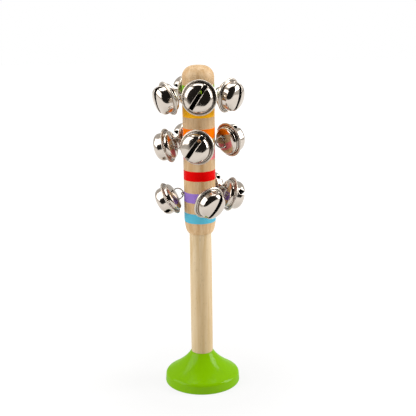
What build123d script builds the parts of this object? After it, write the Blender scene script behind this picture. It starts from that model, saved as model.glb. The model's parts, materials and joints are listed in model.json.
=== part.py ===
"""Bell stick: a turned wooden baton on a flared foot, carrying three rows of four jingle bells.

Each bell is two pressed steel shells crimped together round a loose ball. A wire ring runs through
two holes in the back shell and under a staple that is driven into the side of the baton's head.

Millimetres, +Z up. The origin is the centre of the foot's flat underside, and -Y is the front.
"""

from build123d import *
from math import asin, cos, degrees, radians, sin, sqrt
import os

# Foot
FOOT_RADIUS = 23.0
FOOT_WALL = 4.6          # height of the rim
RIM_LEAN = 4.0           # degrees by which the rim leans in towards its top
FOOT_HEIGHT = 19.8
FOOT_NECK_RADIUS = 6.9   # where the flare meets the handle
FOOT_SHOULDER = 2.4      # rounding between rim and flare
FOOT_EDGE = 0.6          # rounding of the bottom edge
FLARE_SLOPE = 32.0       # degrees above level where the flare leaves the rim
FLARE_PULL = 13.0        # how far the flare holds that slope before it turns up

# Handle, a dowel with a faint barrel, glued into the foot and the head
HANDLE_END_RADIUS = 6.6
HANDLE_MID_RADIUS = 6.7
HANDLE_IN_FOOT = 13.8
HANDLE_IN_HEAD = 15.0

# Head, which carries the bells
HEAD_RADIUS = 9.43
HEAD_BOTTOM = 96.6
HEAD_TOP = 196.8
HEAD_TOP_ROUND = 6.75
HEAD_MOUTH_RADIUS = 6.8  # bottom edge, just proud of the handle
HEAD_TAPER_HEIGHT = 10.0  # height of the elliptical rounding above the bottom edge

# Staple that holds a ring: crown along the tangent, legs straight into the wood
STAPLE_WIRE = 1.0
STAPLE_SPAN = 3.4        # between the legs' centres
STAPLE_BEND = 0.9
STAPLE_CROWN_RADIUS = 10.85  # from the head's axis to the crown's centre line
STAPLE_TIP_RADIUS = 4.2  # from the head's axis to the ends of the legs

# Wire ring
RING_WIRE = 0.8
RING_RADIUS = 3.33       # centre line
RING_BUTT_GAP = 4.0      # degrees left open where the wire's ends meet, inside the bell
RING_PLAY = 0.05         # between the ring and the crown that it hangs from

# Bell shells, measured along the bell's axis from the face where the two flanges meet
SHEET = 0.45
FLANGE_RADIUS = 10.25
FLANGE_INNER_RADIUS = 9.7   # outer edge of the cup's own flange, inside the crimp
FLANGE_SHEET = 0.4
CRIMP_HALF = 0.6            # half the crimp's thickness, centred on the cup's flange
CRIMP_CHAMFER = 0.3
CRIMP_LIP_RADIUS = 9.25     # inner edge of the folded lip
CUP_RADIUS = 8.45
CUP_DEPTH = 8.1
CUP_CORNER = 3.6
CUP_WALL = 3.8
BACK_RADIUS = 8.3
BACK_DEPTH = 3.8
BACK_CORNER = 1.4
BACK_WALL = 1.65
SLOT_WIDTH = 2.4
SLOT_END_WIDTH = 3.0
SLOT_END_HEIGHT = 3.5
RING_HOLE_RADIUS = 1.1
RING_HOLE_OFFSET = 2.9      # from the bell's axis

# Loose ball, lying against the lowest side of the cup
BALL_RADIUS = 3.0
BALL_HEIGHT = 2.6
BALL_PLAY = 0.05

ROW_HEIGHTS = {"upper": 180.6, "middle": 151.7, "lower": 121.0}

# How each bell hangs, in degrees and millimetres:
# staple's azimuth (0 is +X, 90 is +Y), staple's height above its row, bell's droop below level,
# bell's turn on its ring (positive anticlockwise from above), and the slot's roll from upright.
BELLS = {
    ("upper", "front"): (274.0, -0.3, -6.0, -12.0, 34.0),
    ("upper", "left"): (194.0, -0.4, 17.0, 12.0, 10.0),
    ("upper", "back"): (101.5, 0.0, 6.0, 42.0, 72.0),
    ("upper", "right"): (346.0, 0.3, 10.0, -21.0, 4.0),
    ("middle", "front"): (270.5, 0.6, -1.0, -20.0, 36.0),
    ("middle", "left"): (180.5, -0.4, 17.0, -16.0, -12.0),
    ("middle", "back"): (103.5, 0.4, 7.0, 42.0, 66.0),
    ("middle", "right"): (356.0, 0.0, -12.0, 45.0, -34.0),
    ("lower", "front"): (282.0, 0.3, 22.0, 24.0, 34.0),
    ("lower", "left"): (187.5, 0.0, 32.0, -14.0, -60.0),
    ("lower", "back"): (81.0, 0.3, 5.0, -44.0, -46.0),
    ("lower", "right"): (5.0, -0.3, 16.0, 13.0, -59.0),
}

# Worked out from the sizes above
RING_REACH = STAPLE_CROWN_RADIUS - (STAPLE_WIRE + RING_WIRE) / 2 + RING_RADIUS - RING_PLAY / 2
RING_TO_HOLES = sqrt(RING_RADIUS**2 - RING_HOLE_OFFSET**2)


def dome(wall_radius, wall_height, corner, depth):
    """Radius and tangent angle of the crown that closes a wall and its corner at a given depth."""
    inset = wall_radius - corner
    rise = depth - wall_height
    crown = (inset**2 + rise**2 - corner**2) / (2 * (rise - corner))
    return crown, degrees(asin(inset / (crown - corner)))


def dome_lines(wall_radius, wall_height, corner, depth, inward, side):
    """Corner and crown arcs, moved inward by a sheet's thickness; side is +1 up or -1 down."""
    crown, lean = dome(wall_radius, wall_height, corner, depth)
    corner_centre = (wall_radius - corner, side * wall_height)
    crown_centre = (0, side * (depth - crown))
    return [
        CenterArc(corner_centre, corner - inward, 0, side * (90 - lean)),
        CenterArc(crown_centre, crown - inward, side * (90 - lean), side * lean),
    ]


def turned(lines):
    """Solid of revolution about +Z from lines drawn as (radius, height)."""
    return revolve(Plane.XZ * make_face(lines), axis=Axis.Z)


def base_shape():
    slope, lean = radians(FLARE_SLOPE), radians(RIM_LEAN)
    edge_centre = (FOOT_RADIUS - FOOT_EDGE, FOOT_EDGE)
    rim_foot = (edge_centre[0] + FOOT_EDGE * cos(lean), edge_centre[1] + FOOT_EDGE * sin(lean))
    rim_top = (rim_foot[0] - (FOOT_WALL - rim_foot[1]) * sin(lean) / cos(lean), FOOT_WALL)
    shoulder = (rim_top[0] - FOOT_SHOULDER * cos(lean), rim_top[1] - FOOT_SHOULDER * sin(lean))
    flare_start = (shoulder[0] + FOOT_SHOULDER * sin(slope), shoulder[1] + FOOT_SHOULDER * cos(slope))
    flare_pull = (flare_start[0] - FLARE_PULL * cos(slope), flare_start[1] + FLARE_PULL * sin(slope))
    bore_bottom = FOOT_HEIGHT - HANDLE_IN_FOOT
    return turned([
        Line((0, 0), (FOOT_RADIUS - FOOT_EDGE, 0)),
        CenterArc(edge_centre, FOOT_EDGE, -90, 90 + RIM_LEAN),
        Line(rim_foot, rim_top),
        CenterArc(shoulder, FOOT_SHOULDER, RIM_LEAN, 90 - FLARE_SLOPE - RIM_LEAN),
        Bezier(flare_start, flare_pull, (FOOT_NECK_RADIUS, FOOT_HEIGHT)),
        Polyline(
            (FOOT_NECK_RADIUS, FOOT_HEIGHT),
            (HANDLE_END_RADIUS, FOOT_HEIGHT),
            (HANDLE_END_RADIUS, bore_bottom),
            (0, bore_bottom),
            (0, 0),
        ),
    ])


def handle_shape():
    low = FOOT_HEIGHT - HANDLE_IN_FOOT
    high = HEAD_BOTTOM + HANDLE_IN_HEAD
    middle = (FOOT_HEIGHT + HEAD_BOTTOM) / 2
    return turned([
        Polyline((HANDLE_END_RADIUS, FOOT_HEIGHT), (HANDLE_END_RADIUS, low), (0, low), (0, high)),
        Polyline((0, high), (HANDLE_END_RADIUS, high), (HANDLE_END_RADIUS, HEAD_BOTTOM)),
        ThreePointArc(
            (HANDLE_END_RADIUS, HEAD_BOTTOM),
            (HANDLE_MID_RADIUS, middle),
            (HANDLE_END_RADIUS, FOOT_HEIGHT),
        ),
    ])


def head_shape(staple_frames):
    bore_top = HEAD_BOTTOM + HANDLE_IN_HEAD
    taper_top = HEAD_BOTTOM + HEAD_TAPER_HEIGHT
    round_centre = (HEAD_RADIUS - HEAD_TOP_ROUND, HEAD_TOP - HEAD_TOP_ROUND)
    blank = turned([
        Polyline((0, bore_top), (HANDLE_END_RADIUS, bore_top), (HANDLE_END_RADIUS, HEAD_BOTTOM)),
        Line((HANDLE_END_RADIUS, HEAD_BOTTOM), (HEAD_MOUTH_RADIUS, HEAD_BOTTOM)),
        EllipticalCenterArc(
            (HEAD_MOUTH_RADIUS, taper_top),
            HEAD_RADIUS - HEAD_MOUTH_RADIUS,
            HEAD_TAPER_HEIGHT,
            start_angle=-90,
            arc_size=90,
        ),
        Line((HEAD_RADIUS, taper_top), (HEAD_RADIUS, HEAD_TOP - HEAD_TOP_ROUND)),
        CenterArc(round_centre, HEAD_TOP_ROUND, 0, 90),
        Polyline((round_centre[0], HEAD_TOP), (0, HEAD_TOP), (0, bore_top)),
    ])
    return blank - [frame * leg_hole for frame in staple_frames for leg_hole in leg_cylinders()]


def leg_cylinders():
    """The two straight legs of a staple, in its own frame, where +X runs out of the wood."""
    length = STAPLE_CROWN_RADIUS - STAPLE_BEND - STAPLE_TIP_RADIUS
    start = -STAPLE_BEND - length
    leg = Rot(0, 90, 0) * Cylinder(STAPLE_WIRE / 2, length, align=(Align.CENTER, Align.CENTER, Align.MIN))
    return [Pos(start, side * STAPLE_SPAN / 2, 0) * leg for side in (-1, 1)]


def staple_shape():
    """A staple with its crown's centre at the origin, along Y."""
    half = STAPLE_SPAN / 2
    tip = STAPLE_TIP_RADIUS - STAPLE_CROWN_RADIUS
    path = FilletPolyline((tip, -half), (0, -half), (0, half), (tip, half), radius=STAPLE_BEND)
    section = Plane(origin=(tip, -half, 0), z_dir=(1, 0, 0)) * Circle(STAPLE_WIRE / 2)
    return sweep(section, path=path)


def cup_shape(slot_roll):
    """Front shell: flange at z = 0, crown at +z, one slot over the crown with a hole at each end."""
    shell = turned([
        Polyline(
            (CUP_RADIUS - SHEET, CUP_WALL),
            (CUP_RADIUS - SHEET, 0),
            (FLANGE_INNER_RADIUS, 0),
            (FLANGE_INNER_RADIUS, FLANGE_SHEET),
            (CUP_RADIUS, FLANGE_SHEET),
            (CUP_RADIUS, CUP_WALL),
        ),
        *dome_lines(CUP_RADIUS, CUP_WALL, CUP_CORNER, CUP_DEPTH, 0, 1),
        Line((0, CUP_DEPTH), (0, CUP_DEPTH - SHEET)),
        *dome_lines(CUP_RADIUS, CUP_WALL, CUP_CORNER, CUP_DEPTH, SHEET, 1),
    ])
    across = 2 * FLANGE_RADIUS
    slit = Pos(0, 0, SLOT_END_HEIGHT) * Box(
        SLOT_WIDTH, across, CUP_DEPTH, align=(Align.CENTER, Align.CENTER, Align.MIN)
    )
    ends = Pos(0, 0, SLOT_END_HEIGHT) * Rot(90, 0, 0) * Cylinder(SLOT_END_WIDTH / 2, across)
    return shell - Rot(0, 0, -slot_roll) * (slit + ends)


def back_shape():
    """Back shell: shallow dome at -z, its rim folded over the cup's flange, two holes for the ring."""
    crimp_top = FLANGE_SHEET / 2 + CRIMP_HALF
    crimp_bottom = FLANGE_SHEET / 2 - CRIMP_HALF
    crimp_round = FLANGE_RADIUS - CRIMP_CHAMFER
    shell = turned([
        Polyline(
            (BACK_RADIUS - SHEET, -BACK_WALL),
            (BACK_RADIUS - SHEET, 0),
            (FLANGE_INNER_RADIUS, 0),
            (FLANGE_INNER_RADIUS, FLANGE_SHEET),
            (CRIMP_LIP_RADIUS, FLANGE_SHEET),
            (CRIMP_LIP_RADIUS, crimp_top),
            (crimp_round, crimp_top),
            (FLANGE_RADIUS, crimp_top - CRIMP_CHAMFER),
            (FLANGE_RADIUS, crimp_bottom + CRIMP_CHAMFER),
            (crimp_round, crimp_bottom),
            (BACK_RADIUS, crimp_bottom),
            (BACK_RADIUS, -BACK_WALL),
        ),
        *dome_lines(BACK_RADIUS, BACK_WALL, BACK_CORNER, BACK_DEPTH, 0, -1),
        Line((0, -BACK_DEPTH), (0, SHEET - BACK_DEPTH)),
        *dome_lines(BACK_RADIUS, BACK_WALL, BACK_CORNER, BACK_DEPTH, SHEET, -1),
    ])
    hole = Pos(0, 0, -BACK_DEPTH) * Cylinder(RING_HOLE_RADIUS, BACK_DEPTH)
    return shell - [Pos(0, side * RING_HOLE_OFFSET, 0) * hole for side in (-1, 1)]


def ring_shape():
    """A wire ring round +Z, with its ends butted on the +X side."""
    section = Plane.XZ * Pos(RING_RADIUS, 0) * Circle(RING_WIRE / 2)
    ring = revolve(section, axis=Axis.Z, revolution_arc=360 - RING_BUTT_GAP)
    return Rot(0, 0, RING_BUTT_GAP / 2) * ring


def ring_hole_depth():
    """Depth of the sheet's middle at the ring's holes, behind the flanges' meeting face."""
    crown, lean = dome(BACK_RADIUS, BACK_WALL, BACK_CORNER, BACK_DEPTH)
    return BACK_DEPTH - crown + sqrt(crown**2 - RING_HOLE_OFFSET**2) - SHEET / 2


class Hanging:
    """Where one staple, ring, bell and ball are: points, directions and frames."""

    def __init__(self, row, side):
        azimuth, lift, droop, turn, self.slot_roll = BELLS[row, side]
        height = ROW_HEIGHTS[row] + lift
        out = Vector(cos(radians(azimuth)), sin(radians(azimuth)), 0)
        up = Vector(0, 0, 1)
        self.tangent = up.cross(out)
        self.crown = out * STAPLE_CROWN_RADIUS + up * height
        self.ring_centre = out * RING_REACH + up * height
        along = out * cos(radians(droop)) - up * sin(radians(droop))
        self.turn_axis = up * cos(radians(droop)) + out * sin(radians(droop))
        self.turn_centre = self.ring_centre + along * RING_TO_HOLES
        self.bell_axis = along * cos(radians(turn)) + self.tangent * sin(radians(turn))
        across = self.turn_axis.cross(self.bell_axis)
        flange_centre = self.turn_centre + self.bell_axis * ring_hole_depth()
        self.staple_frame = Plane(self.crown, x_dir=out, z_dir=up)
        self.ring_frame = Plane(self.ring_centre, x_dir=along, z_dir=self.tangent)
        self.bell_frame = Plane(flange_centre, x_dir=across, z_dir=self.bell_axis)
        rise = up - self.bell_axis * up.dot(self.bell_axis)
        self.ball_axis = rise.normalized()
        self.ball_travel = CUP_RADIUS - SHEET - BALL_RADIUS - BALL_PLAY
        middle = flange_centre + self.bell_axis * BALL_HEIGHT
        self.ball_centre = middle - self.ball_axis * self.ball_travel


def save(name, shape):
    shape.label = name
    export_step(shape, f"parts/{name}.step")


def main():
    os.makedirs("parts", exist_ok=True)
    hangings = {key: Hanging(*key) for key in BELLS}
    staple_frames = [hanging.staple_frame for hanging in hangings.values()]
    save("base", base_shape())
    save("handle", handle_shape())
    save("head", head_shape(staple_frames))
    staple = staple_shape()
    save("staples", Compound(children=[frame * staple for frame in staple_frames]))
    back = back_shape()
    ring = ring_shape()
    for (row, side), hanging in hangings.items():
        name = f"{row}_{side}"
        save(f"{name}_bell_cup", hanging.bell_frame * cup_shape(hanging.slot_roll))
        save(f"{name}_bell_back", hanging.bell_frame * back)
        save(f"{name}_ring", hanging.ring_frame * ring)
        save(f"{name}_ball", Pos(hanging.ball_centre) * Sphere(BALL_RADIUS))


if __name__ == "__main__":
    main()
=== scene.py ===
"""Looks for the bell stick: turned and painted wood with twelve bright jingle bells.

Metres, +Z up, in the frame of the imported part; -Y is the front. Profiles are written in millimetres.
"""

import json
import math

import bmesh
import bpy
import numpy as np
from mathutils import Matrix, Vector, noise


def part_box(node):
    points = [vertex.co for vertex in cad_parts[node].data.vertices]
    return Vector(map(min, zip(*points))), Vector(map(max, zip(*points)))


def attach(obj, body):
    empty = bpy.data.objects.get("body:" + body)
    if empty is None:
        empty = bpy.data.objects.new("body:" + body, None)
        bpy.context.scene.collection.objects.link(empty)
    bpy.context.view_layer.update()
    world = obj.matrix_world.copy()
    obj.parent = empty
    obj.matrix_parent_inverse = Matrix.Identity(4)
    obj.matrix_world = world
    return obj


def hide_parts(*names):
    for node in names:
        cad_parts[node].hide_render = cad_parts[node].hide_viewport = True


MM = 0.001

# Wood, in millimetres
FOOT_RADIUS = 23.0
FOOT_WALL = 4.6
RIM_LEAN = 4.0
FOOT_HEIGHT = 19.8
FOOT_NECK_RADIUS = 6.9
FOOT_SHOULDER = 2.4
FOOT_EDGE = 0.6
FLARE_SLOPE = 32.0
FLARE_PULL = 13.0
HANDLE_END_RADIUS = 6.6
HANDLE_MID_RADIUS = 6.7
HANDLE_IN_FOOT = 13.8
HANDLE_IN_HEAD = 15.0
HEAD_RADIUS = 9.43
HEAD_BOTTOM = 96.6
HEAD_TOP = 196.8
HEAD_TOP_ROUND = 6.75
HEAD_MOUTH_RADIUS = 6.8
HEAD_TAPER_HEIGHT = 10.0
WOOD_SEGMENTS = 144

# Painted rings on the head: height of the lower edge, height of the upper edge, colour
COAT = 0.035            # paint standing proud of the wood
COAT_EDGE = 0.22          # height over which the paint thins out
BANDS = (
    (103.8, 109.6, (0.100, 0.450, 0.590)),
    (116.5, 122.3, (0.310, 0.180, 0.560)),
    (129.6, 135.5, (0.720, 0.000, 0.000)),
    (142.2, 148.0, (0.850, 0.200, 0.220)),
    (154.9, 160.7, (0.930, 0.180, 0.000)),
    (167.4, 173.2, (0.980, 0.470, 0.010)),
    (180.0, 185.8, (0.250, 0.500, 0.000)),
)

# Bell shells, in millimetres from the face where the flanges meet
SHEET = 0.45
FLANGE_RADIUS = 10.25
FLANGE_INNER_RADIUS = 9.7
FLANGE_SHEET = 0.4
CRIMP_ROUND = 0.6
CRIMP_RIDGE = 1.3         # 1 gives the fold a round crest, more makes it sharper
CRIMP_LIP_RADIUS = 9.25
CUP_RADIUS = 8.45
CUP_DEPTH = 8.1
CUP_CORNER = 3.6
CUP_WALL = 3.8
BACK_RADIUS = 8.3
BACK_DEPTH = 3.8
BACK_CORNER = 1.4
BACK_WALL = 1.65
WALL_FILLET = 0.35
FLANGE_EDGE = 0.1         # rounding of the cup flange's edge
SEAT_EDGE = 0.05          # rounding of the groove that holds the cup's flange
MOUTH_ROUND = 0.2         # rounding where a flange turns into the shell
HOLE_EDGE = 0.12          # rounding of the ring holes
HOLE_FIELD = 5.6          # radius of the round field that holds both ring holes
SLOT_WIDTH = 2.4
SLOT_END_WIDTH = 3.0
SLOT_END_HEIGHT = 3.5
SLOT_EDGE_ROUND = 0.38
RING_HOLE_RADIUS = 1.1
RING_HOLE_OFFSET = 2.9
RING_WIRE = 0.8
RING_RADIUS = 3.33
RING_BUTT_GAP = 4.0
BALL_RADIUS = 3.0
BALL_SKIN = 0.03          # kept free for the dents
STAPLE_WIRE = 1.0
STAPLE_SPAN = 3.4
STAPLE_BEND = 0.9
STAPLE_CROWN_RADIUS = 10.85
STAPLE_TIP_RADIUS = 8.6   # the legs are shown to just under the wood

# Roll of each bell's slot about its own axis, in degrees from upright
SLOT_ROLLS = {
    "upper_front": 34.0,
    "upper_left": 10.0,
    "upper_back": 72.0,
    "upper_right": 4.0,
    "middle_front": 36.0,
    "middle_left": -12.0,
    "middle_back": 66.0,
    "middle_right": -34.0,
    "lower_front": 34.0,
    "lower_left": -60.0,
    "lower_back": -46.0,
    "lower_right": -59.0,
}

# Camera, in metres, degrees, millimetres of lens and frame widths
CAMERA_DISTANCE = 0.560
CAMERA_HEIGHT = 0.26722
CAMERA_DOWN = 15.54
CAMERA_ROLL = -0.90
CAMERA_LENS = 83.97
CAMERA_SENSOR = 36.0
CAMERA_SHIFT = 0.0192

# The room that reflections show: pale, and dark within a cone about one direction
ROOM_PALE = (0.62, 0.60, 0.575)
ROOM_DARK = (0.018, 0.016, 0.015)
DARK_WAY = (0.12, -0.87, 0.43)
DARK_COSINES = (0.35, 0.54)       # where the dark begins and where it is full
DIFFUSE_LIGHT = 0.50
CAMERA_LIGHT = 1.0

# Floor, and how its glow grows with the distance from the base, in metres; the dimmer glow near the base
# is a painted shadow
FLOOR_COLOUR = (0.10, 0.098, 0.095)
FLOOR_GLOW_AND_SHADOW = (0.04, 0.22, 0.84, 1.05)
FLOOR_X = 0.9
FLOOR_Y = (-0.48, 1.6)

# Softboxes, in metres and watts: name, place, point aimed at, width, height, power
SOFTBOXES = (
    ("left_softbox", (-0.85, -0.18, 0.62), (0, 0, 0.14), 1.00, 0.85, 8.0),
    ("right_softbox", (0.85, 0.02, 0.52), (0, 0, 0.14), 0.45, 0.70, 8.5),
    ("top_softbox", (0.0, 0.25, 1.10), (0, 0, 0.12), 0.9, 0.5, 4.0),
)


# --- outlines -----------------------------------------------------------------------------------


def arc(centre, radius, start, end, steps):
    """Points on an arc, both ends included; degrees from +X."""
    angles = np.radians(np.linspace(start, end, steps + 1))
    return [(centre[0] + radius * math.cos(a), centre[1] + radius * math.sin(a)) for a in angles]


def straight(start, end, steps):
    """Points along a line after its start."""
    return [tuple(np.array(start) + (np.array(end) - start) * k / steps) for k in range(1, steps + 1)]


def dome(wall_radius, wall_height, corner, depth):
    """Radius and tangent angle of the crown that closes a wall and its corner at a given depth."""
    inset = wall_radius - corner
    rise = depth - wall_height
    crown = (inset**2 + rise**2 - corner**2) / (2 * (rise - corner))
    return crown, math.degrees(math.asin(inset / (crown - corner)))


def smooth(value):
    """Smooth step from 0 to 1."""
    value = min(max(value, 0.0), 1.0)
    return value * value * (3 - 2 * value)


def coat_at(height):
    """Thickness of the paint at a height on the head."""
    for low, high, _ in BANDS:
        if low - COAT_EDGE < height < high + COAT_EDGE:
            rise = smooth((height - low) / COAT_EDGE + 0.5)
            return COAT * rise * smooth((high - height) / COAT_EDGE + 0.5)
    return 0.0


def head_radius(height):
    """Radius of the bare head, below its top rounding."""
    below = max(HEAD_BOTTOM + HEAD_TAPER_HEIGHT - height, 0) / HEAD_TAPER_HEIGHT
    return HEAD_MOUTH_RADIUS + (HEAD_RADIUS - HEAD_MOUTH_RADIUS) * math.sqrt(max(1 - below**2, 0))


def head_outline():
    bore_top = HEAD_BOTTOM + HANDLE_IN_HEAD
    round_start = HEAD_TOP - HEAD_TOP_ROUND
    taper = np.linspace(0, math.pi / 2, 19)
    heights = {HEAD_BOTTOM + HEAD_TAPER_HEIGHT * (1 - math.cos(a)) for a in taper}
    heights |= set(np.arange(HEAD_BOTTOM + HEAD_TAPER_HEIGHT, round_start, 1.5))
    for low, high, _ in BANDS:
        for edge in (low, high):
            heights |= {edge + step for step in (-0.16, -0.08, -0.03, 0.03, 0.08, 0.16)}
    wall = [(head_radius(z) + coat_at(z), z) for z in sorted(heights)]
    inner = [(0, bore_top), (HANDLE_END_RADIUS, bore_top), (HANDLE_END_RADIUS, HEAD_BOTTOM + 0.1)]
    top = arc((HEAD_RADIUS - HEAD_TOP_ROUND, round_start), HEAD_TOP_ROUND, 0, 90, 18)
    return inner + wall + top + [(0, HEAD_TOP)]


def handle_outline():
    low = FOOT_HEIGHT - HANDLE_IN_FOOT
    high = HEAD_BOTTOM + HANDLE_IN_HEAD
    middle = (FOOT_HEIGHT + HEAD_BOTTOM) / 2
    half = (HEAD_BOTTOM - FOOT_HEIGHT) / 2
    belly = [
        (HANDLE_MID_RADIUS - (HANDLE_MID_RADIUS - HANDLE_END_RADIUS) * t * t, middle + half * t)
        for t in np.linspace(-1, 1, 25)
    ]
    ends = HANDLE_END_RADIUS - 0.02
    return [(0, low), (ends, low), *belly, (ends, high), (0, high)]


def foot_outline():
    slope, lean = math.radians(FLARE_SLOPE), math.radians(RIM_LEAN)
    out = np.array((math.cos(lean), math.sin(lean)))
    edge = np.array((FOOT_RADIUS - FOOT_EDGE, FOOT_EDGE))
    rim_foot = edge + FOOT_EDGE * out
    rim_top = (rim_foot[0] - (FOOT_WALL - rim_foot[1]) * math.tan(lean), FOOT_WALL)
    shoulder = rim_top - FOOT_SHOULDER * out
    start = shoulder + FOOT_SHOULDER * np.array((math.sin(slope), math.cos(slope)))
    pull = start + FLARE_PULL * np.array((-math.cos(slope), math.sin(slope)))
    end = np.array((FOOT_NECK_RADIUS, FOOT_HEIGHT - 0.15))
    flare = [
        tuple(start * (1 - t) ** 2 + pull * 2 * t * (1 - t) + end * t * t)
        for t in np.linspace(0, 1, 33)[1:]
    ]
    bore_bottom = FOOT_HEIGHT - HANDLE_IN_FOOT
    return [
        (0, 0),
        *arc(edge, FOOT_EDGE, -90, RIM_LEAN, 8),
        *straight(rim_foot, rim_top, 4),
        *arc(shoulder, FOOT_SHOULDER, RIM_LEAN, 90 - FLARE_SLOPE, 8)[1:],
        *flare,
        *arc((FOOT_NECK_RADIUS - 0.15, FOOT_HEIGHT - 0.15), 0.15, 0, 90, 4)[1:],
        (HANDLE_END_RADIUS + 0.02, FOOT_HEIGHT),
        (HANDLE_END_RADIUS + 0.02, bore_bottom),
        (0, bore_bottom),
    ]


# --- meshes -------------------------------------------------------------------------------------


def new_object(name, mesh):
    piece = bpy.data.objects.new(name, mesh)
    bpy.context.scene.collection.objects.link(piece)
    return piece


def lathe(name, outline, segments, sharp_angle=40):
    """Closed solid of revolution about +Z; the (radius, height) points start and end on the axis."""
    shape = bmesh.new()
    rings = []
    for radius, height in outline:
        if radius < 1e-6:
            rings.append([shape.verts.new((0, 0, height * MM))])
            continue
        turn = [2 * math.pi * k / segments for k in range(segments)]
        rings.append([
            shape.verts.new((radius * MM * math.cos(a), radius * MM * math.sin(a), height * MM))
            for a in turn
        ])
    for low, high in zip(rings, rings[1:]):
        for k in range(segments):
            n = k + 1
            corners = (low[k % len(low)], low[n % len(low)], high[n % len(high)], high[k % len(high)])
            corners = list(dict.fromkeys(corners))
            if len(corners) > 2:
                shape.faces.new(corners)
    bmesh.ops.recalc_face_normals(shape, faces=shape.faces)
    mesh = bpy.data.meshes.new(name)
    shape.to_mesh(mesh)
    shape.free()
    mesh.shade_smooth()
    mesh.set_sharp_from_angle(angle=math.radians(sharp_angle))
    return new_object(name, mesh)


class Patchwork:
    """Mesh sewn from grids of points whose normals are known. Points that coincide are merged."""

    def __init__(self):
        self.points, self.normals, self.faces, self.count = [], [], [], 0

    def add(self, points, normals, closed=False):
        """Adds points[row][column]; columns close on themselves, and rows do if closed."""
        points, normals = np.array(points), np.array(normals)
        rows, columns = points.shape[:2]
        index = self.count + np.arange(rows * columns).reshape(rows, columns)
        above = np.roll(index, -1, axis=0)
        quads = np.stack([index, np.roll(index, -1, 1), np.roll(above, -1, 1), above], -1)
        self.faces.append((quads if closed else quads[:-1]).reshape(-1, 4))
        self.points.append(points.reshape(-1, 3))
        self.normals.append(normals.reshape(-1, 3))
        self.count += rows * columns

    def mesh(self, name, centre):
        """Faces turned towards the centre's height on the axis take the second material, a dark painted
        shade.

        Those of the crimp, whichever way they face, take the third.
        """
        points, normals = np.concatenate(self.points), np.concatenate(self.normals)
        _, first, merged = np.unique(
            np.round(points, 4), axis=0, return_index=True, return_inverse=True
        )
        points, normals = points[first], normals[first]
        faces, kinds = [], []
        for quad in merged.reshape(-1)[np.concatenate(self.faces)]:
            corners = list(dict.fromkeys(quad.tolist()))
            if len(corners) < 3:
                continue
            start = points[corners[0]]
            outward = normals[corners].sum(axis=0)
            if np.cross(points[corners[1]] - start, points[corners[-1]] - start) @ outward < 0:
                corners.reverse()
            faces.append(corners)
            middle = points[corners].mean(axis=0)
            # Faces turned inward get the dark painted shade of the hollow
            inside_shade = outward @ (middle - (0, 0, centre)) < 0
            kinds.append(2 if math.hypot(middle[0], middle[1]) > CRIMP_LIP_RADIUS else int(inside_shade))
        mesh = bpy.data.meshes.new(name)
        mesh.from_pydata((points * MM).tolist(), [], faces)
        mesh.polygons.foreach_set("material_index", kinds)
        mesh.update()
        mesh.shade_smooth()
        mesh.normals_split_custom_set_from_vertices(normals.tolist())
        return mesh


class Profile:
    """Outer face of a pressed shell: position and outward normal by distance from its crown's centre."""

    def __init__(self, wall_radius, wall_height, corner, depth, side):
        self.crown, lean = dome(wall_radius, wall_height, corner, depth)
        self.lean = math.radians(lean)
        self.corner, self.depth, self.side = corner, depth, side
        self.wall_radius, self.wall_height = wall_radius, wall_height
        self.crown_length = self.crown * self.lean
        self.corner_length = corner * (math.pi / 2 - self.lean)
        self.wall_start = self.crown_length + self.corner_length

    def at(self, distance):
        """Radius, height, and the outward normal's radial and axial parts; arrays."""
        d = np.asarray(distance, float)
        crown_angle = d / self.crown
        corner_angle = self.lean + (d - self.crown_length) / self.corner
        in_crown, in_corner = d < self.crown_length, d < self.wall_start
        angle = np.where(in_crown, crown_angle, np.where(in_corner, corner_angle, math.pi / 2))
        corner_radius = self.wall_radius - self.corner * (1 - np.sin(corner_angle))
        radius = np.where(
            in_crown,
            self.crown * np.sin(crown_angle),
            np.where(in_corner, corner_radius, self.wall_radius),
        )
        height = np.where(
            in_crown,
            self.depth - self.crown * (1 - np.cos(crown_angle)),
            np.where(
                in_corner,
                self.wall_height + self.corner * np.cos(corner_angle),
                self.wall_height - (d - self.wall_start),
            ),
        )
        return radius, self.side * height, np.sin(angle), self.side * np.cos(angle)

    def distance_at_height(self, height):
        """Distance from the crown's centre of a point on the corner or the wall."""
        if height <= self.wall_height:
            return self.wall_start + self.wall_height - height
        corner_angle = math.acos(min((height - self.wall_height) / self.corner, 1.0))
        return self.crown_length + self.corner * (corner_angle - self.lean)


def on_shell(profile, flat, depth=0.0):
    """Points and outward normals on a shell, from flat (x, y) coordinates.

    These lead from the crown's centre as if every line down the shell were straightened out.
    """
    distance = np.hypot(flat[..., 0], flat[..., 1])
    safe = np.maximum(distance, 1e-9)
    direction = flat / safe[..., None]
    radius, height, radial, axial = profile.at(distance)
    normals = np.concatenate([direction * radial[..., None], axial[..., None]], -1)
    points = np.concatenate([direction * radius[..., None], height[..., None]], -1)
    return points - normals * depth, normals


def turned_rows(outline, directions):
    """Rows of points and normals from a smooth (radius, height) outline with its normals."""
    points, normals = [], []
    for radius, height, radial, axial in outline:
        points.append(np.column_stack([directions * radius, np.full(len(directions), height)]))
        normals.append(np.column_stack([directions * radial, np.full(len(directions), axial)]))
    return points, normals


def outline_normals(outline, side):
    """Adds normals to a smooth open outline; side is +1 where the outside is on its left."""
    path = np.array(outline, float)
    along = np.gradient(path, axis=0)
    along /= np.linalg.norm(along, axis=1)[:, None]
    normals = np.column_stack([-along[:, 1], along[:, 0]]) * side
    return np.column_stack([path, normals])


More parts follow.
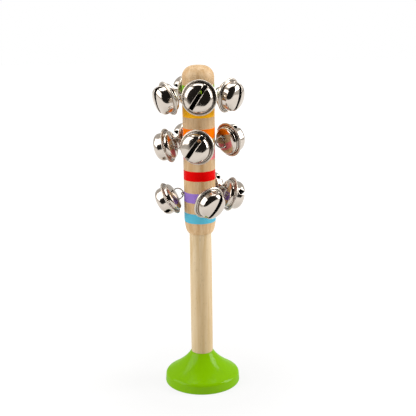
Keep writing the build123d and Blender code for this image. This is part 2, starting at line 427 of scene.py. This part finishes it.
def slot_outline(profile, grow, columns):
    """Flat coordinates of the slot's edge, grown outward, one point per column, along +Y first."""
    half = SLOT_WIDTH / 2 + grow
    end = SLOT_END_WIDTH / 2 + grow
    quarter = columns // 4
    hole_steps = quarter * 3 // 8
    join = math.asin(half / end)
    points = []
    for k in range(hole_steps):
        a = (math.pi - join) * k / hole_steps
        x = end * math.sin(a)
        height = SLOT_END_HEIGHT - end * math.cos(a)
        distance = profile.distance_at_height(height)
        radius = float(profile.at(distance)[0])
        azimuth = math.asin(x / radius)
        points.append((distance * math.sin(azimuth), distance * math.cos(azimuth)))
    join_distance = profile.distance_at_height(SLOT_END_HEIGHT + end * math.cos(join))
    longest = math.sqrt(join_distance**2 - half**2)
    for k in range(quarter + 1 - hole_steps):
        reach = longest * math.cos(math.pi / 2 * k / (quarter - hole_steps))
        distance = math.hypot(reach, half)
        azimuth = math.asin(min(half / float(profile.at(distance)[0]), 1.0))
        points.append((distance * math.sin(azimuth), distance * math.cos(azimuth)))
    points = np.array(points)
    mirrored = points[:-1][::-1] * (1, -1)
    right = np.concatenate([points, mirrored])
    left = right[1:-1][::-1] * (-1, 1)
    return np.concatenate([right, left])


def cup_mesh():
    """Front shell, slot along Y, as one closed grid: slot's edge, outside, flange, inside, slot's edge."""
    profile = Profile(CUP_RADIUS, CUP_WALL, CUP_CORNER, CUP_DEPTH, 1)
    columns = 144
    turn = 2 * math.pi * np.arange(columns) / columns
    directions = np.column_stack([np.sin(turn), np.cos(turn)])
    fillet_top = FLANGE_SHEET + WALL_FILLET
    ring = profile.distance_at_height(fillet_top)
    edge_flat = slot_outline(profile, SLOT_EDGE_ROUND, columns)
    ring_flat = directions * ring
    points, normals = [], []
    inward = slot_inward(profile, columns)
    for step in range(5):
        a = math.pi / 2 * (1 - step / 4)
        flat = slot_outline(profile, SLOT_EDGE_ROUND * (1 - math.sin(a)), columns)
        at, up = on_shell(profile, flat, SLOT_EDGE_ROUND * (1 - math.cos(a)))
        points.append(at)
        normals.append(up * math.cos(a) + inward * math.sin(a))
    for t in np.linspace(0, 1, 27)[1:]:
        at, up = on_shell(profile, edge_flat * (1 - t) + ring_flat * t)
        points.append(at)
        normals.append(up)
    bend = CUP_RADIUS + WALL_FILLET
    outside = arc((bend, fillet_top), WALL_FILLET, 180, 270, 5)[1:]
    flange = FLANGE_INNER_RADIUS - FLANGE_EDGE
    outside += straight((bend, FLANGE_SHEET), (flange, FLANGE_SHEET), 2)
    outside += arc((flange, FLANGE_SHEET - FLANGE_EDGE), FLANGE_EDGE, 90, 0, 3)[1:]
    outside += arc((flange, FLANGE_EDGE), FLANGE_EDGE, 0, -90, 3)
    mouth = CUP_RADIUS - SHEET + MOUTH_ROUND
    outside += straight((flange, 0), (mouth, 0), 2)
    outside += arc((mouth, MOUTH_ROUND), MOUTH_ROUND, 270, 180, 4)[1:]
    for rows, kept in zip(turned_rows(outline_normals(outside, 1), directions), (points, normals)):
        kept += rows
    for t in np.linspace(1, 0, 21):
        at, up = on_shell(profile, edge_flat * (1 - t) + ring_flat * t, SHEET)
        points.append(at)
        normals.append(-up)
    flat = slot_outline(profile, 0.0, columns)
    at, up = on_shell(profile, flat, SHEET - 0.08)
    points.append(at)
    normals.append(inward)
    shell = Patchwork()
    shell.add(points, normals, closed=True)
    return shell.mesh("cup_shell", 1.0)


def slot_inward(profile, columns):
    """Direction from each point of the slot's edge towards the middle of the slot."""
    near = on_shell(profile, slot_outline(profile, 0.05, columns))[0]
    far = on_shell(profile, slot_outline(profile, 0.25, columns))[0]
    away = near - far
    return away / np.linalg.norm(away, axis=1)[:, None]


def back_mesh():
    """Back shell with two ring holes along Y. Its rim is folded over the cup's flange."""
    profile = Profile(BACK_RADIUS, BACK_WALL, BACK_CORNER, BACK_DEPTH, -1)
    arc_steps, chord_steps = 48, 20
    half_turn = np.radians(np.linspace(0, 180, arc_steps + 1))
    rim = np.column_stack([np.cos(half_turn), np.sin(half_turn)]) * HOLE_FIELD
    across = np.linspace(-HOLE_FIELD, HOLE_FIELD, chord_steps + 1)[1:-1]
    chord = np.column_stack([across, np.zeros(chord_steps - 1)])
    border = np.concatenate([rim, chord])
    centre = np.array((0, RING_HOLE_OFFSET))
    out = border - centre
    out /= np.linalg.norm(out, axis=1)[:, None]

    def on_crown(flat, depth):
        radius = np.maximum(np.hypot(flat[:, 0], flat[:, 1]), 1e-9)
        unroll = profile.crown * np.arcsin(radius / profile.crown) / radius
        return on_shell(profile, flat * unroll[:, None], depth)

    def hole_row(grow, depth, lean):
        at, up = on_crown(centre + out * (RING_HOLE_RADIUS + grow), depth)
        inward = np.column_stack([-out, np.zeros(len(out))])
        return at, up * math.cos(lean) + inward * math.sin(lean)

    def field_row(t, depth, facing):
        edge = centre + out * (RING_HOLE_RADIUS + HOLE_EDGE)
        at, up = on_crown(edge * (1 - t) + border * t, depth)
        return at, up * facing

    rows = [field_row(t, SHEET, -1) for t in np.linspace(1, 0, 8)]
    rows += [hole_row(0, SHEET - HOLE_EDGE, math.pi / 2)]
    for a in np.linspace(math.pi / 2, 0, 4):
        rows.append(hole_row(HOLE_EDGE * (1 - math.sin(a)), HOLE_EDGE * (1 - math.cos(a)), a))
    rows += [field_row(t, 0, 1) for t in np.linspace(0, 1, 8)[1:]]
    points, normals = (np.array(part) for part in zip(*rows))
    shell = Patchwork()
    shell.add(points, normals)
    shell.add(points * (-1, -1, 1), normals * (-1, -1, 1))

    turn = math.pi * np.arange(2 * arc_steps) / arc_steps
    directions = np.column_stack([np.cos(turn), np.sin(turn)])
    crimp_middle = FLANGE_SHEET / 2
    crimp_bottom = crimp_middle - CRIMP_ROUND
    bend = BACK_RADIUS + WALL_FILLET
    start = profile.crown * math.asin(HOLE_FIELD / profile.crown)
    end = profile.distance_at_height(WALL_FILLET - crimp_bottom)
    points, normals = [], []
    for distance in np.linspace(start, end, 16):
        at, up = on_shell(profile, directions * distance)
        points.append(at)
        normals.append(up)
    outside = arc((bend, crimp_bottom - WALL_FILLET), WALL_FILLET, 180, 90, 5)[1:]
    outside += straight((bend, crimp_bottom), (FLANGE_RADIUS - CRIMP_ROUND, crimp_bottom), 2)
    outside += arc((FLANGE_RADIUS - CRIMP_ROUND, crimp_middle), CRIMP_ROUND, -90, 0, 8)[1:]
    roll = (FLANGE_RADIUS - CRIMP_LIP_RADIUS) / 2
    for a in np.radians(np.linspace(0, 150, 19)[1:]):
        parts = (math.cos(a), math.sin(a))
        out, up = (math.copysign(abs(part) ** CRIMP_RIDGE, part) for part in parts)
        outside.append((CRIMP_LIP_RADIUS + roll + roll * out, crimp_middle + CRIMP_ROUND * up))
    lip, seat = CRIMP_LIP_RADIUS + SEAT_EDGE, FLANGE_INNER_RADIUS - SEAT_EDGE
    outside += arc((lip, FLANGE_SHEET + SEAT_EDGE), SEAT_EDGE, 180, 270, 2)
    outside += straight((lip, FLANGE_SHEET), (seat, FLANGE_SHEET), 1)
    outside += arc((seat, FLANGE_SHEET - SEAT_EDGE), SEAT_EDGE, 90, 0, 2)[1:]
    outside += arc((seat, SEAT_EDGE), SEAT_EDGE, 0, -90, 2)
    mouth = BACK_RADIUS - SHEET + MOUTH_ROUND
    outside += straight((seat, 0), (mouth, 0), 2)
    outside += arc((mouth, -MOUTH_ROUND), MOUTH_ROUND, 90, 180, 4)[1:]
    for rows, kept in zip(turned_rows(outline_normals(outside, -1), directions), (points, normals)):
        kept += rows
    for distance in np.linspace(end, start, 14):
        at, up = on_shell(profile, directions * distance, SHEET)
        points.append(at)
        normals.append(-up)
    shell.add(points, normals)
    return shell.mesh("back_shell", -0.7)


def ball_mesh():
    """Tumbled steel ball, a little out of round, from a rounded cube of quads."""
    shape = bmesh.new()
    bmesh.ops.create_cube(shape, size=2)
    bmesh.ops.subdivide_edges(shape, edges=shape.edges, cuts=15, use_grid_fill=True)
    for vertex in shape.verts:
        direction = vertex.co.normalized()
        dent = noise.noise(direction * 1.7 + Vector((3.1, 0.4, 7.7)))
        pit = noise.noise(direction * 6.0 + Vector((9.2, 5.1, 2.3)))
        vertex.co = direction * (BALL_RADIUS - BALL_SKIN + 0.02 * dent + 0.01 * pit) * MM
    mesh = bpy.data.meshes.new("ball")
    shape.to_mesh(mesh)
    shape.free()
    mesh.shade_smooth()
    return mesh


def wire_mesh(name, path, tangents, radius, segments=16):
    """Round wire along a path in the XY plane, in millimetres. Each end narrows over a short cone."""
    shape = bmesh.new()
    stations = [(Vector(p), Vector(t).normalized(), radius) for p, t in zip(path, tangents)]
    for end, direction in ((0, -1), (-1, 1)):
        point, along, _ = stations[end]
        eased = (point + along * direction * radius * 0.2, along, radius * 0.75)
        stations.insert(0 if end == 0 else len(stations), eased)
    rings = []
    for point, along, size in stations:
        across = Vector((0, 0, 1)).cross(along)
        turn = [2 * math.pi * k / segments for k in range(segments)]
        rings.append([
            shape.verts.new((point + (across * math.cos(a) + Vector((0, 0, math.sin(a)))) * size) * MM)
            for a in turn
        ])
    for low, high in zip(rings, rings[1:]):
        for k in range(segments):
            n = (k + 1) % segments
            shape.faces.new((low[k], low[n], high[n], high[k]))
    shape.faces.new(rings[0])
    shape.faces.new(rings[-1])
    bmesh.ops.recalc_face_normals(shape, faces=shape.faces)
    mesh = bpy.data.meshes.new(name)
    shape.to_mesh(mesh)
    shape.free()
    mesh.shade_smooth()
    mesh.set_sharp_from_angle(angle=math.radians(50))
    return mesh


def ring_mesh():
    """Wire ring round +Z with its ends butted on +X."""
    turn = np.radians(np.linspace(RING_BUTT_GAP / 2, 360 - RING_BUTT_GAP / 2, 97))
    path = [(RING_RADIUS * math.cos(a), RING_RADIUS * math.sin(a), 0) for a in turn]
    tangents = [(-math.sin(a), math.cos(a), 0) for a in turn]
    return wire_mesh("wire_ring", path, tangents, RING_WIRE / 2)


def staple_mesh():
    """U of wire with its crown's centre at the origin, along Y; +X runs out of the wood."""
    half = STAPLE_SPAN / 2
    tip = STAPLE_TIP_RADIUS - STAPLE_CROWN_RADIUS
    corner = half - STAPLE_BEND
    outline = [(tip, -half), *straight((tip, -half), (-STAPLE_BEND, -half), 4)]
    outline += arc((-STAPLE_BEND, -corner), STAPLE_BEND, -90, 0, 8)[1:]
    outline += straight((0, -corner), (0, corner), 4)
    outline += arc((-STAPLE_BEND, corner), STAPLE_BEND, 0, 90, 8)[1:]
    outline += straight((-STAPLE_BEND, half), (tip, half), 4)
    path = np.column_stack([np.array(outline), np.zeros(len(outline))])
    return wire_mesh("staple", path, np.gradient(path, axis=0), STAPLE_WIRE / 2)


# --- materials ----------------------------------------------------------------------------------


class Nodes:
    """Short calls that add nodes to a shader tree and join them."""

    def __init__(self, tree):
        self.tree = tree

    def join(self, socket, value):
        if isinstance(value, bpy.types.NodeSocket):
            self.tree.links.new(value, socket)
        else:
            socket.default_value = value

    def node(self, kind, output, inputs=(), **settings):
        node = self.tree.nodes.new("ShaderNode" + kind)
        for key, value in settings.items():
            setattr(node, key, value)
        for key, value in dict(inputs).items():
            self.join(node.inputs[key], value)
        return node.outputs[output]

    def math(self, operation, a, b):
        return self.node("Math", 0, {0: a, 1: b}, operation=operation)

    def remap(self, value, low, high, to_low=0.0, to_high=1.0, **settings):
        limits = {"From Min": low, "From Max": high, "To Min": to_low, "To Max": to_high}
        return self.node("MapRange", 0, {"Value": value, **limits}, **settings)

    def mix(self, factor, a, b, blend="MIX"):
        a, b = (c if isinstance(c, bpy.types.NodeSocket) else (*c, 1.0) for c in (a, b))
        return self.node("Mix", 2, {0: factor, 6: a, 7: b}, data_type="RGBA", blend_type=blend)


class Surface(Nodes):
    """A material and the calls that shape its pattern."""

    def __init__(self, name):
        self.material = bpy.data.materials.new(name)
        self.material.use_nodes = True
        super().__init__(self.material.node_tree)
        self.shader = self.tree.nodes["Principled BSDF"]
        self.at = self.node("TexCoord", "Object")

    def set(self, **inputs):
        """Sets the shader's inputs, named with underscores for spaces."""
        for name, value in inputs.items():
            self.join(self.shader.inputs[name.replace("_", " ")], value)

    def stretched(self, x, y, z):
        return self.node("Mapping", 0, {"Vector": self.at, "Scale": (x, y, z)})

    def noise(self, vector, scale, detail=3.0, roughness=0.55):
        inputs = {"Vector": vector, "Scale": scale, "Detail": detail, "Roughness": roughness}
        return self.node("TexNoise", "Fac", inputs)

    def bump(self, height, distance):
        return self.node("Bump", 0, {"Height": height, "Distance": distance, "Strength": 1.0})

    def height(self):
        return self.node("SeparateXYZ", 2, {0: self.at})


def wood(name, light, dark, bands=()):
    """Sanded beech: broad streaks, fine fibres and short flecks along the height, and painted rings."""
    s = Surface(name)
    bend = s.noise(s.stretched(1, 1, 1), 14.0, 1.0)
    sway = s.mix(1.0, bend, (2.2, 2.2, 0), "MULTIPLY")
    swayed = s.node("VectorMath", 0, {0: s.stretched(330, 330, 15), 1: sway})
    streaks = s.remap(s.noise(swayed, 1.0, 4.0, 0.6), 0.34, 0.68)
    fibres = s.noise(s.stretched(2900, 2900, 95), 1.0, 2.0)
    flecks = s.remap(s.noise(s.stretched(1700, 1700, 330), 1.0, 1.0), 0.64, 0.74)
    colour = s.mix(streaks, light, dark)
    colour = s.mix(s.remap(fibres, 0.3, 0.7, 0.0, 0.16), colour, dark)
    colour = s.mix(s.math("MULTIPLY", flecks, 0.42), colour, [0.55 * c for c in dark])
    relief = s.math("ADD", s.math("MULTIPLY", fibres, 0.6), s.math("MULTIPLY", flecks, -0.4))
    if not bands:
        s.set(
            Base_Color=colour,
            Roughness=s.remap(fibres, 0.3, 0.7, 0.46, 0.58),
            Specular_IOR_Level=0.42,
            Normal=s.bump(relief, 0.00004),
        )
        return s.material

    waver = s.math("SUBTRACT", s.noise(s.stretched(900, 900, 900), 1.0, 2.0), 0.5)
    edge = s.math("MULTIPLY", waver, 0.00022)
    place = s.remap(s.math("ADD", s.height(), edge), HEAD_BOTTOM * MM, HEAD_TOP * MM)
    ramp = s.tree.nodes.new("ShaderNodeValToRGB")
    ramp.color_ramp.interpolation = "CONSTANT"
    ramp.color_ramp.elements.remove(ramp.color_ramp.elements[1])
    ramp.color_ramp.elements[0].color = (0, 0, 0, 0)
    for low, high, paint in bands:
        for height, value in ((low, (*paint, 1)), (high, (*paint, 0))):
            stop = ramp.color_ramp.elements.new((height - HEAD_BOTTOM) / (HEAD_TOP - HEAD_BOTTOM))
            stop.color = value
    s.join(ramp.inputs[0], place)
    paint, mask = ramp.outputs
    brushed = s.noise(s.stretched(160, 160, 900), 1.0, 3.0)
    paint = s.mix(s.remap(brushed, 0.3, 0.7, 0.0, 0.16), paint, s.mix(0.3, paint, (0, 0, 0)))
    skin = s.noise(s.stretched(700, 700, 700), 1.0, 2.0)
    s.set(
        Base_Color=s.mix(mask, colour, paint),
        Roughness=s.math("ADD", s.math("MULTIPLY", mask, -0.16), s.remap(fibres, 0.3, 0.7, 0.46, 0.56)),
        Specular_IOR_Level=s.remap(mask, 0.0, 1.0, 0.36, 0.04),
    )
    bare = s.math("MULTIPLY", relief, s.math("SUBTRACT", 1.0, s.math("MULTIPLY", mask, 0.8)))
    painted = s.math("MULTIPLY", skin, s.math("MULTIPLY", mask, 0.5))
    s.set(Normal=s.bump(s.math("ADD", bare, painted), 0.00004))
    return s.material


def gloss_paint(name, colour):
    """Sprayed lacquer: faint sag and orange peel, and a little unevenness of colour."""
    s = Surface(name)
    cloud = s.noise(s.stretched(60, 60, 60), 1.0, 3.0)
    peel = s.noise(s.stretched(420, 420, 420), 1.0, 2.0)
    specks = s.remap(s.noise(s.stretched(2300, 2300, 2300), 1.0, 1.0), 0.70, 0.76)
    tint = s.mix(s.remap(cloud, 0.3, 0.7, 0.0, 0.22), colour, [0.72 * colour[0], 0.80 * colour[1], 0.0])
    tint = s.mix(s.math("MULTIPLY", specks, 0.25), tint, (0.30, 0.58, 0.10))
    s.set(
        Base_Color=tint,
        Roughness=s.remap(cloud, 0.3, 0.7, 0.30, 0.38),
        Specular_IOR_Level=0.0,
        Coat_Weight=0.24,
        Coat_Roughness=s.remap(peel, 0.3, 0.7, 0.10, 0.18),
        Normal=s.bump(peel, 0.00007),
        Coat_Normal=s.bump(peel, 0.00010),
    )
    return s.material


def metal(name, colour, roughness, dull=0.05, dent=0.000012):
    """Metal with hazy patches, fine scratches and slightly uneven pressing, different on each piece."""
    s = Surface(name)
    own = s.node("ObjectInfo", "Random")
    moved = s.node("VectorMath", 0, {0: s.at, 1: s.math("MULTIPLY", own, 3.0)})
    haze = s.noise(moved, 260.0, 3.0)
    fine = s.noise(moved, 5200.0, 2.0)
    drawn_out = {"Vector": moved, "Rotation": (0.4, 0.9, 0.3), "Scale": (240, 5200, 900)}
    scratch_at = s.node("Mapping", 0, drawn_out)
    scratches = s.remap(s.noise(scratch_at, 1.0, 1.0), 0.66, 0.74)
    waves = s.noise(moved, 190.0, 1.0)
    tint = s.mix(s.remap(haze, 0.35, 0.75, 0.0, 0.5), colour, [0.90 * c for c in colour])
    rough = s.remap(haze, 0.35, 0.75, roughness, roughness + dull)
    rough = s.math("ADD", rough, s.math("MULTIPLY", fine, 0.02))
    s.set(
        Metallic=1.0,
        Base_Color=s.mix(s.math("MULTIPLY", scratches, 0.25), tint, [0.8 * c for c in colour]),
        Roughness=s.math("ADD", rough, s.math("MULTIPLY", scratches, 0.10)),
        Normal=s.bump(waves, dent),
    )
    return s.material


# --- pieces -------------------------------------------------------------------------------------


def dress(piece, body, node, slot, *materials):
    """Gives a piece its materials and body, and hides the CAD node it stands for."""
    for material in materials:
        piece.data.materials.append(material)
    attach(piece, body)
    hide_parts(node)


def placed(x_axis, z_axis, at):
    """World matrix from two of its axes and its origin in metres."""
    z_axis = z_axis.normalized()
    y_axis = z_axis.cross(x_axis).normalized()
    columns = (y_axis.cross(z_axis), y_axis, z_axis)
    turn = Matrix([list(row) for row in zip(*columns)]).to_4x4()
    return Matrix.Translation(at) @ turn


class Bell:
    """Where one bell hangs, from its three joints."""

    def __init__(self, joints, name):
        droop, turn, rattle = (joints[f"{name}_{motion}"] for motion in ("droop", "turn", "rattle"))
        self.ring_at, self.tangent = Vector(droop["pos_m"]), Vector(droop["axis"])
        self.turn_at, self.turn_axis = Vector(turn["pos_m"]), Vector(turn["axis"])
        low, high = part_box(f"{name}_ball")
        self.ball_at = (Vector(low) + Vector(high)) / 2
        self.axis = self.turn_axis.cross(Vector(rattle["axis"])).normalized()
        if self.axis.dot(self.turn_at - self.ring_at) < 0:
            self.axis.negate()

    def ring(self):
        return placed(self.turn_at - self.ring_at, self.tangent, self.ring_at)

    def shell(self, roll=0.0):
        crown = dome(BACK_RADIUS, BACK_WALL, BACK_CORNER, BACK_DEPTH)[0]
        reach = BACK_DEPTH - crown + math.sqrt(crown**2 - RING_HOLE_OFFSET**2) - SHEET / 2
        hung = placed(self.turn_axis.cross(self.axis), self.axis, self.turn_at + self.axis * reach * MM)
        return hung @ Matrix.Rotation(-math.radians(roll), 4, "Z")

    def staple(self):
        outward = Vector((self.ring_at.x, self.ring_at.y, 0)).normalized()
        at = outward * STAPLE_CROWN_RADIUS * MM + Vector((0, 0, self.ring_at.z))
        return placed(outward, Vector((0, 0, 1)), at)


def staples(bells):
    """All staples as one mesh in world coordinates."""
    shape = bmesh.new()
    one = staple_mesh()
    for bell in bells:
        before = len(shape.verts)
        shape.from_mesh(one)
        shape.verts.ensure_lookup_table()
        bmesh.ops.transform(shape, matrix=bell.staple(), verts=shape.verts[before:])
    mesh = bpy.data.meshes.new("wire_staples")
    shape.to_mesh(mesh)
    shape.free()
    return new_object("wire_staples", mesh)


def build(frame):
    nickel = metal("nickel_plate", (0.60, 0.535, 0.47), 0.085)
    # Inner faces of the shells: nickel darkened almost to black, a painted shade of the bell's hollow
    inside_shade = metal("nickel_inside_painted_shade", (0.07, 0.062, 0.055), 0.42, dull=0.15)
    crimp = metal("nickel_crimp", (0.62, 0.56, 0.49), 0.34, dull=0.12)
    wire = metal("ring_wire", (0.56, 0.51, 0.45), 0.13, dull=0.10)
    steel = metal("staple_steel", (0.55, 0.53, 0.50), 0.22, dull=0.14)
    # Steel ball darkened almost to black: a painted shade of the hollow it sits in
    shaded_shot = metal("ball_steel", (0.10, 0.09, 0.08), 0.24, dull=0.16)
    handle_wood = wood("handle_wood", (0.65, 0.515, 0.33), (0.52, 0.355, 0.165))
    head_wood = wood("head_wood", (0.70, 0.505, 0.295), (0.50, 0.292, 0.120), BANDS)
    green = gloss_paint("green_paint", (0.184, 0.402, 0.0))

    base = lathe("painted_base", foot_outline(), WOOD_SEGMENTS)
    handle = lathe("dowel_handle", handle_outline(), WOOD_SEGMENTS)
    head = lathe("banded_head", head_outline(), WOOD_SEGMENTS)
    dress(base, "body", "base", "green_paint", green)
    dress(handle, "body", "handle", "handle_wood", handle_wood)
    dress(head, "body", "head", "head_wood", head_wood)

    joints = {joint["name"]: joint for joint in frame["joints"]}
    bells = {name: Bell(joints, name) for name in SLOT_ROLLS}
    dress(staples(bells.values()), "body", "staples", "staple_steel", steel)
    cup, back, ring, ball = cup_mesh(), back_mesh(), ring_mesh(), ball_mesh()
    plated = ("nickel_plate", nickel, inside_shade, crimp)
    for name, bell in bells.items():
        hung = (
            ("cup_shell", cup, bell.shell(SLOT_ROLLS[name]), "bell", "bell_cup", *plated),
            ("back_shell", back, bell.shell(), "bell", "bell_back", *plated),
            ("wire_ring", ring, bell.ring(), "ring", "ring", "ring_wire", wire),
            ("steel_ball", ball, Matrix.Translation(bell.ball_at), "ball", "ball", "ball_steel", shaded_shot),
        )
        for piece_name, mesh, place, body, node, slot, *materials in hung:
            piece = new_object(f"{name}_{piece_name}", mesh.copy())
            piece.data.transform(place)
            dress(piece, f"{name}_{body}", f"{name}_{node}", slot, *materials)


# --- stage --------------------------------------------------------------------------------------


def softbox(name, at, aim, width, height, power):
    light = bpy.data.lights.new(name, "AREA")
    light.shape = "RECTANGLE"
    light.size = width
    light.size_y = height
    light.energy = power
    lamp = bpy.data.objects.new(name, light)
    lamp.location = at
    lamp.rotation_euler = (Vector(aim) - Vector(at)).to_track_quat("-Z", "Y").to_euler()
    lamp.visible_camera = False
    bpy.context.scene.collection.objects.link(lamp)


def studio():
    """White floor and surroundings for the camera, the room for reflections, softboxes and camera."""
    floor = Surface("studio_floor")
    grain = floor.remap(floor.noise(floor.at, 30.0, 4.0), 0.3, 0.7, 0.985, 1.0)
    away = floor.node("VectorMath", "Value", {0: floor.at}, operation="LENGTH")
    floor.set(
        Base_Color=floor.mix(1.0, FLOOR_COLOUR, grain, "MULTIPLY"),
        Roughness=0.9,
        Specular_IOR_Level=0.0,
        Emission_Color=(1.0, 1.0, 1.0, 1.0),
        # Glow dimmed close to the base: a painted shadow round it
        Emission_Strength=floor.remap(away, *FLOOR_GLOW_AND_SHADOW),
    )
    front, rear = FLOOR_Y
    corners = [(-FLOOR_X, front, 0), (FLOOR_X, front, 0), (FLOOR_X, rear, 0), (-FLOOR_X, rear, 0)]
    mesh = bpy.data.meshes.new("studio_floor")
    mesh.from_pydata(corners, [], [range(len(corners))])
    mesh.materials.append(floor.material)
    new_object("studio_floor", mesh)

    world = bpy.data.worlds.new("studio")
    bpy.context.scene.world = world
    world.use_nodes = True
    room = Nodes(world.node_tree)
    directions = {0: room.node("TexCoord", "Generated"), 1: Vector(DARK_WAY).normalized()}
    ahead = room.node("VectorMath", "Value", directions, operation="DOT_PRODUCT")
    dark = room.remap(ahead, *DARK_COSINES, interpolation_type="SMOOTHSTEP")
    colour = room.mix(dark, ROOM_PALE, ROOM_DARK)
    for ray, light in (("Is Diffuse Ray", DIFFUSE_LIGHT), ("Is Camera Ray", CAMERA_LIGHT)):
        colour = room.mix(room.node("LightPath", ray), colour, (light, light, light))
    room.join(room.tree.nodes["Background"].inputs["Color"], colour)

    for box in SOFTBOXES:
        softbox(*box)

    lens = bpy.data.cameras.new("camera")
    lens.sensor_width = CAMERA_SENSOR
    lens.lens = CAMERA_LENS
    lens.shift_x = CAMERA_SHIFT
    lens.clip_start = 0.01
    camera = bpy.data.objects.new("camera", lens)
    camera.matrix_world = (
        Matrix.Translation((0, -CAMERA_DISTANCE, CAMERA_HEIGHT))
        @ Matrix.Rotation(math.radians(90 - CAMERA_DOWN), 4, "X")
        @ Matrix.Rotation(math.radians(CAMERA_ROLL), 4, "Z")
    )
    bpy.context.scene.collection.objects.link(camera)
    bpy.context.scene.camera = camera
    bpy.context.scene.view_settings.view_transform = "Standard"


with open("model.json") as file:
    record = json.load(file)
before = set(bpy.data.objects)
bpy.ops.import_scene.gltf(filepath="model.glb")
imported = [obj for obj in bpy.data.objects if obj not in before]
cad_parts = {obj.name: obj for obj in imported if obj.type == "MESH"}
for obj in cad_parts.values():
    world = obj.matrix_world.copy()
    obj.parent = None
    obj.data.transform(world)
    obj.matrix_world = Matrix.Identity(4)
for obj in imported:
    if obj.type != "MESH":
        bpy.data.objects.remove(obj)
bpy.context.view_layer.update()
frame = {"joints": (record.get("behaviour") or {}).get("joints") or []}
build(frame)
studio()
